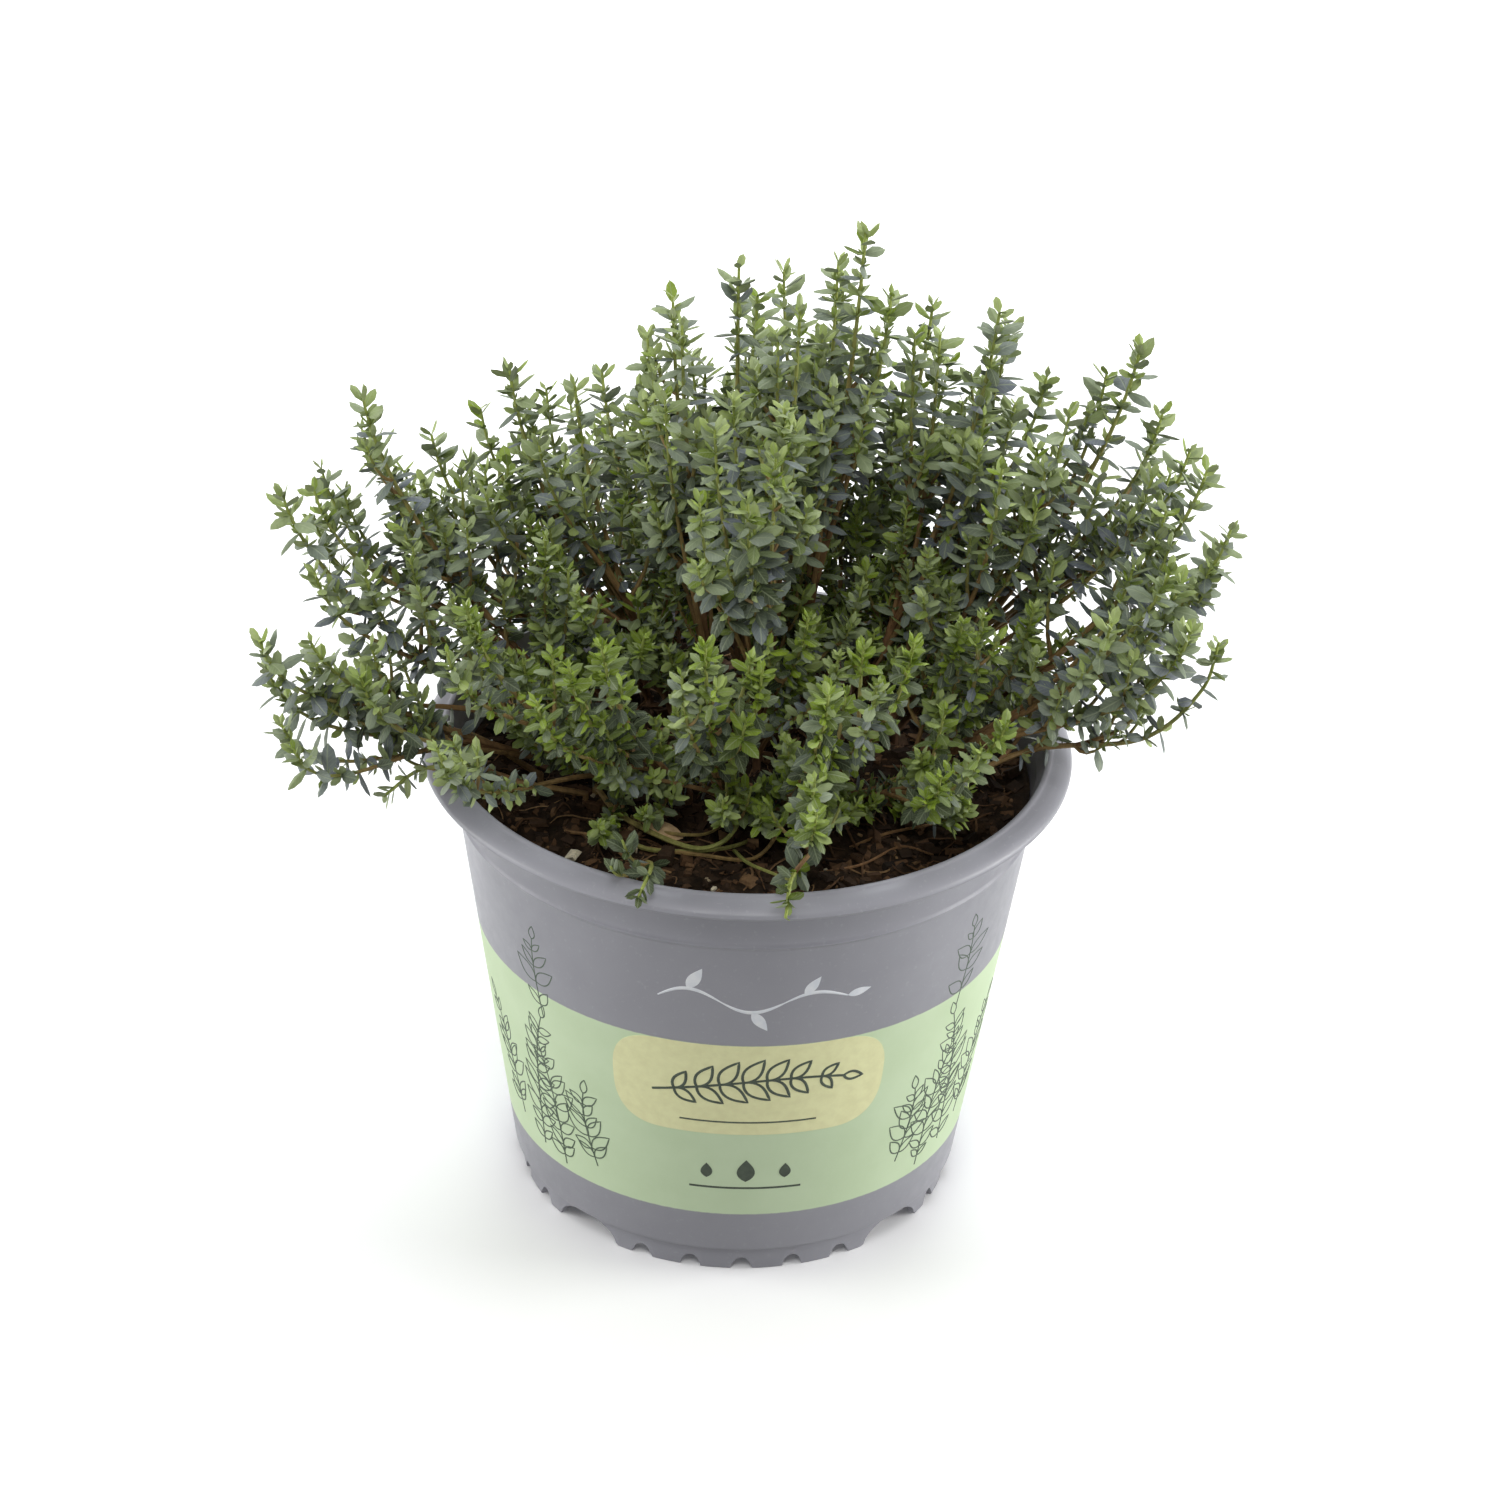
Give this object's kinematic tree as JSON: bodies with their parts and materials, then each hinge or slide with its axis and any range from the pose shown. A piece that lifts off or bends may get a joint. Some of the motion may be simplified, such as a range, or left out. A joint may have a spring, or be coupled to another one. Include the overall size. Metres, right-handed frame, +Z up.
{
  "type": "potted herb",
  "caption": "Common thyme in a tapered grey nursery pot with a flared lip and a notched foot: a wide airy bush of thin woody stems with small opposite leaves, and shoots trailing over the rim.",
  "frame": {"origin": "middle of the whole outline seen from above, at the level of the pot's foot", "axes": "+Z up from the pot's foot to the tips, -Y towards the printed front of the pot, +X towards the right side as seen from the front"},
  "size_m": [0.2108, 0.173, 0.2243],
  "materials": {
    "pot_plastic": "satin",
    "potting_soil": "matte",
    "thyme": "satin"
  },
  "bodies": {
    "root": {"pot": "pot_plastic", "potting_soil": "potting_soil", "shoot_01": "thyme", "shoot_02": "thyme", "shoot_03": "thyme", "shoot_04": "thyme", "shoot_05": "thyme", "shoot_06": "thyme", "shoot_07": "thyme", "shoot_08": "thyme", "shoot_09": "thyme", "shoot_10": "thyme", "shoot_11": "thyme", "shoot_12": "thyme", "shoot_13": "thyme", "shoot_14": "thyme", "shoot_15": "thyme", "shoot_16": "thyme", "shoot_17": "thyme", "shoot_18": "thyme", "shoot_19": "thyme", "shoot_20": "thyme", "shoot_21": "thyme", "shoot_22": "thyme", "shoot_23": "thyme", "shoot_24": "thyme", "shoot_25": "thyme", "shoot_26": "thyme", "shoot_27": "thyme", "shoot_28": "thyme", "trailing_shoot_left_rim": "thyme", "trailing_shoot_front": "thyme", "trailing_shoot_front_left": "thyme", "trailing_shoot_right": "thyme", "trailing_shoot_soil": "thyme", "trailing_shoot_left": "thyme"}
  },
  "joints": []
}
